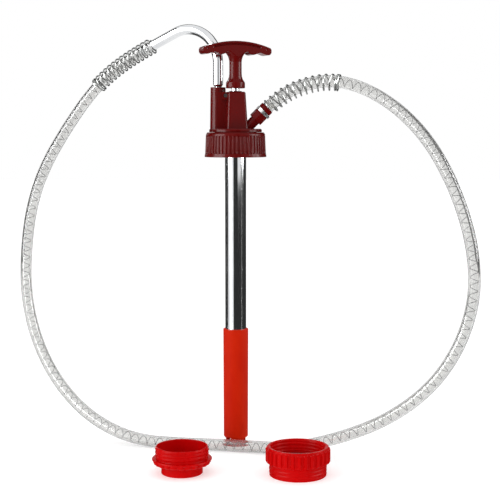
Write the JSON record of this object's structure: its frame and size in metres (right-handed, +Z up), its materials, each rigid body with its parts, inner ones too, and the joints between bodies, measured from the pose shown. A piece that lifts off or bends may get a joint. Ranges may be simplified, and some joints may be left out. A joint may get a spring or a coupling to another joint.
{
  "type": "hand transfer pump",
  "caption": "Hand-operated piston transfer pump with T handle, screw collar, parked metal spout, clear delivery hose and two loose neck adapters.",
  "frame": {"origin": "centre of the screw collar's lower rim, on the pump's axis", "axes": "+Z up along the pump's axis, from the foot to the handle; +X towards the outlet; the adapters stand on the -Y side"},
  "size_m": [0.5461, 0.264, 0.5015],
  "materials": {
    "chromed_steel": "bright chrome-plated steel tube",
    "polished_rod": "ground and polished steel rod",
    "zinc_steel": "bright zinc-plated steel",
    "dark_steel": "dull dark steel",
    "ball_steel": "polished stainless ball",
    "spring_wire": "zinc-plated spring wire",
    "red_plastic": "bright red moulded polyethylene, satin gloss",
    "maroon_plastic": "dark red-brown moulded plastic, semi-gloss",
    "white_plastic": "natural acetal",
    "black_rubber": "black nitrile rubber",
    "clear_vinyl": "clear soft vinyl with a steel wire spiral"
  },
  "bodies": {
    "pump": {"cylinder_tube": "chromed_steel", "foot_sleeve": "red_plastic", "valve_seat": "white_plastic", "valve_oring": "black_rubber", "valve_cage": "white_plastic", "base_plate": "maroon_plastic", "tube_gland": "maroon_plastic", "base_screws": "zinc_steel", "flange_gasket": "black_rubber", "tube_oring": "black_rubber", "pump_head": "maroon_plastic", "rod_bush": "maroon_plastic", "rod_seal": "black_rubber", "vent_screw": "dark_steel", "hose_socket": "maroon_plastic", "outlet_nipple": "white_plastic", "clamp_band": "zinc_steel", "delivery_hose": "clear_vinyl", "outlet_guard_spring": "spring_wire", "spout_grommet": "black_rubber"},
    "collar": {"screw_collar": "maroon_plastic"},
    "foot_ball": {"foot_valve_ball": "ball_steel"},
    "piston": {"piston_body": "white_plastic", "cup_seal": "black_rubber"},
    "piston_valve": {"valve_disc": "black_rubber"},
    "plunger": {"plunger_rod": "polished_rod", "piston_nut": "zinc_steel", "t_handle": "maroon_plastic", "handle_pin": "zinc_steel"},
    "spout": {"spout_tube": "chromed_steel", "spout_guard_spring": "spring_wire"},
    "canister_adapter": {"canister_adapter": "red_plastic", "canister_gasket": "black_rubber"},
    "drum_adapter": {"drum_adapter": "red_plastic", "drum_gasket": "black_rubber"}
  },
  "joints": [
    {"name": "collar_turn", "type": "hinge", "parent": "pump", "child": "collar", "pos_m": [0, 0, 0.0144], "axis": [0, 0, 1], "continuous": true},
    {"name": "plunger_stroke", "type": "slide", "parent": "pump", "child": "piston", "axis": [0, 0, 1], "range_m": [0, 0.3]},
    {"name": "handle_turn", "type": "hinge", "parent": "piston", "child": "plunger", "pos_m": [0, 0, 0.1], "axis": [0, 0, 1], "range_deg": [-10, 90]},
    {"name": "disc_lift", "type": "slide", "parent": "piston", "child": "piston_valve", "axis": [0, 0, 1], "range_m": [0, 0.0029]},
    {"name": "ball_lift", "type": "slide", "parent": "pump", "child": "foot_ball", "axis": [0, 0, 1], "range_m": [0, 0.005]},
    {"name": "spout_lift", "type": "slide", "parent": "pump", "child": "spout", "axis": [0, 0, 1], "range_m": [0, 0.045], "deforming": ["delivery_hose"]},
    {"name": "canister_adapter_lift", "type": "slide", "parent": "pump", "child": "canister_adapter", "axis": [0, 0, 1], "range_m": [0, 0.15]},
    {"name": "drum_adapter_lift", "type": "slide", "parent": "pump", "child": "drum_adapter", "axis": [0, 0, 1], "range_m": [0, 0.15]}
  ]
}
